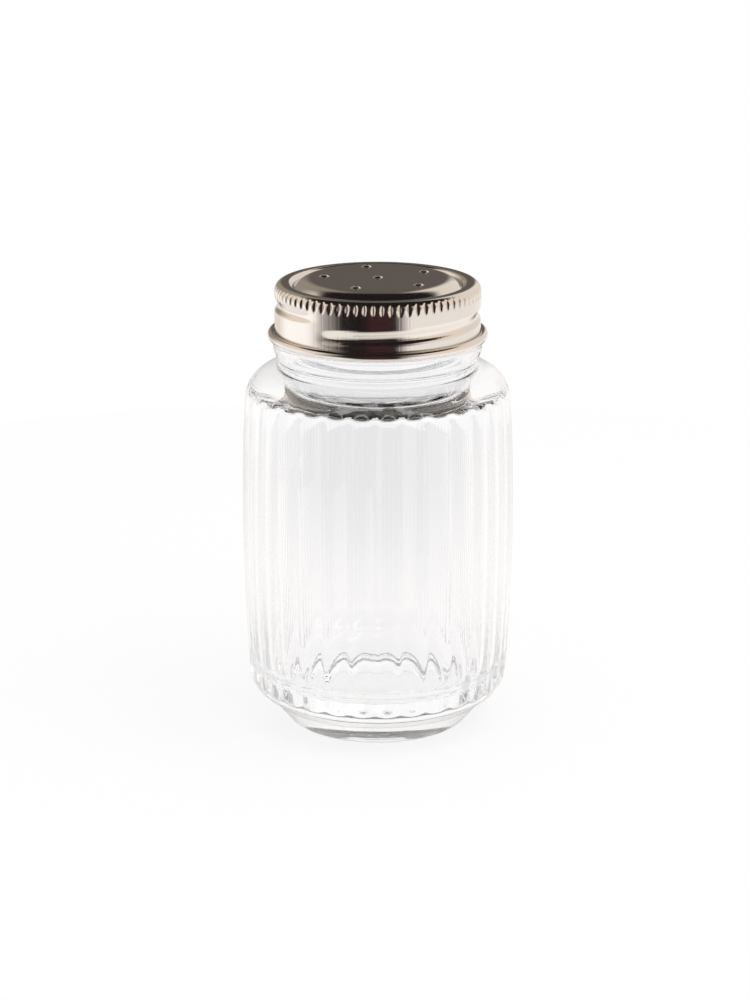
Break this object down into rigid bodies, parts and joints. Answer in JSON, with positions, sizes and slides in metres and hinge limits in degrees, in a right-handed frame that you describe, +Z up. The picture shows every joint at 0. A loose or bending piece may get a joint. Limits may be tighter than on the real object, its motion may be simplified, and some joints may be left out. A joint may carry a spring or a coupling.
{
  "type": "fluted glass shaker",
  "caption": "Clear fluted glass jar with a rounded shoulder and a bright metal screw cap pierced with small burred pouring holes.",
  "frame": {"origin": "centre of the foot on the surface it stands on", "axes": "+Z up along the jar's axis, -Y to the front"},
  "size_m": [0.06, 0.06, 0.101],
  "materials": {
    "glass": "clear pressed glass, smooth and glossy",
    "nickel": "bright nickel-plated sheet steel",
    "seal": "soft off-white sealing ring, matt"
  },
  "bodies": {
    "jar": {"glass_jar": "glass"},
    "seal": {"sealing_ring": "seal"},
    "cap": {"screw_cap": "nickel"}
  },
  "joints": [
    {"name": "cap_rise", "type": "slide", "parent": "jar", "child": "seal", "axis": [0, 0, 1], "range_m": [0, 0.0127]},
    {"name": "cap_turn", "type": "hinge", "parent": "seal", "child": "cap", "pos_m": [0, 0, 0.09], "axis": [0, 0, 1], "range_deg": [0, 1080]}
  ],
  "couplings": [
    {"joint": "cap_rise", "follows": "cap_turn", "m_per_rad": 0.00067322}
  ]
}
